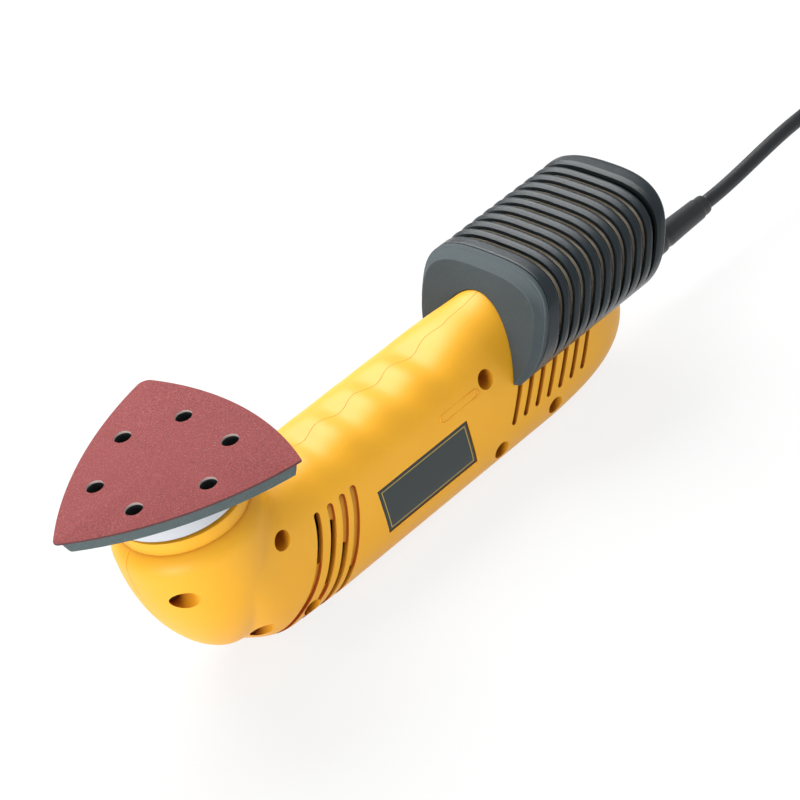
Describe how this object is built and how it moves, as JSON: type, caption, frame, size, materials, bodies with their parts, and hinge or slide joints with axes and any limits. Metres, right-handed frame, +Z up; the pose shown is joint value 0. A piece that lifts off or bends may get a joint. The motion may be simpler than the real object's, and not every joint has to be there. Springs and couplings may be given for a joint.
{
  "type": "corded detail sander",
  "caption": "Hand-held corded detail sander with a three-cornered orbiting pad, a waisted grip, a ribbed dust box on its rear, and a long cord wound up beside it.",
  "frame": {"origin": "middle of the base of the tool without its loose cord, at the height of the floor it lies on", "axes": "+X to the rear, where the cord leaves; +Y to the side away from the screws; +Z up, out of the abrasive face"},
  "size_m": [0.5655, 0.1301, 0.0945],
  "materials": {
    "yellow_housing": "fine matt moulded",
    "slate_plastic": "matt moulded",
    "black_plastic": "matt moulded",
    "white_plastic": "smooth moulded",
    "label": "satin, bare",
    "grey_foam": "closed-cell foam",
    "red_abrasive": "coated grit",
    "filter_paper": "pleated paper",
    "cord_rubber": "matt",
    "bright_steel": "ground",
    "dark_steel": "as machined",
    "cast_alloy": "as cast",
    "copper": "enamelled copper",
    "brass": "pressed",
    "carbon": "pressed carbon"
  },
  "bodies": {
    "housing": {"spindle_bearing_lower": "bright_steel", "spindle_bearing_upper": "bright_steel", "motor_bearing_front": "bright_steel", "motor_bearing_rear": "bright_steel", "stator_core": "dark_steel", "field_coil_right": "copper", "field_coil_left": "copper", "brush_holder_right": "brass", "carbon_brush_right": "carbon", "brush_spring_right": "bright_steel", "brush_holder_left": "brass", "carbon_brush_left": "carbon", "brush_spring_left": "bright_steel", "label_plate": "label", "right_housing": "yellow_housing", "left_housing": "yellow_housing", "housing_screw_1": "dark_steel", "housing_screw_2": "dark_steel", "housing_screw_3": "dark_steel", "housing_screw_4": "dark_steel", "housing_screw_5": "dark_steel", "housing_screw_6": "dark_steel", "housing_screw_7": "dark_steel", "gear_case": "cast_alloy", "fan_baffle": "black_plastic", "switch_body": "black_plastic", "cord_clamp": "slate_plastic", "clamp_screw_1": "dark_steel", "clamp_screw_2": "dark_steel", "strain_relief": "cord_rubber", "supply_cord": "cord_rubber", "cord_coil": "cord_rubber", "cord_tie": "black_plastic", "plug_body": "black_plastic", "plug_pin_1": "brass", "plug_pin_2": "brass"},
    "armature": {"bevel_pinion": "dark_steel", "armature_shaft": "bright_steel", "armature_core": "dark_steel", "armature_winding_front": "copper", "armature_winding_rear": "copper", "commutator": "copper", "cooling_fan": "black_plastic"},
    "spindle": {"crown_gear": "dark_steel", "spindle": "bright_steel", "pad_screw": "dark_steel", "balance_weight": "dark_steel"},
    "pad": {"abrasive_sheet": "red_abrasive", "foam_pad": "grey_foam", "pad_plate": "white_plastic", "pad_bearing": "bright_steel"},
    "switch": {"switch_button": "slate_plastic"},
    "dust_box": {"dust_box_front": "slate_plastic", "dust_box_cage": "slate_plastic", "pleated_filter": "filter_paper"}
  },
  "joints": [
    {"name": "armature_spin", "type": "hinge", "parent": "housing", "child": "armature", "pos_m": [-0.04169, 0, 0.031], "axis": [1, 0, 0], "continuous": true},
    {"name": "spindle_spin", "type": "hinge", "parent": "housing", "child": "spindle", "pos_m": [-0.11769, 0, 0.031], "axis": [0, 0, 1], "continuous": true},
    {"name": "pad_orbit", "type": "hinge", "parent": "spindle", "child": "pad", "pos_m": [-0.11869, 0, 0.078], "axis": [0, 0, 1], "continuous": true},
    {"name": "switch_slide", "type": "slide", "parent": "housing", "child": "switch", "axis": [-1, 0, 0], "range_m": [0, 0.005]},
    {"name": "dust_box_lift", "type": "slide", "parent": "housing", "child": "dust_box", "axis": [0.4254, 0, 0.905], "range_m": [0, 0.045]}
  ],
  "couplings": [
    {"joint": "spindle_spin", "follows": "armature_spin", "ratio": -0.5},
    {"joint": "pad_orbit", "follows": "armature_spin", "ratio": 0.5}
  ]
}
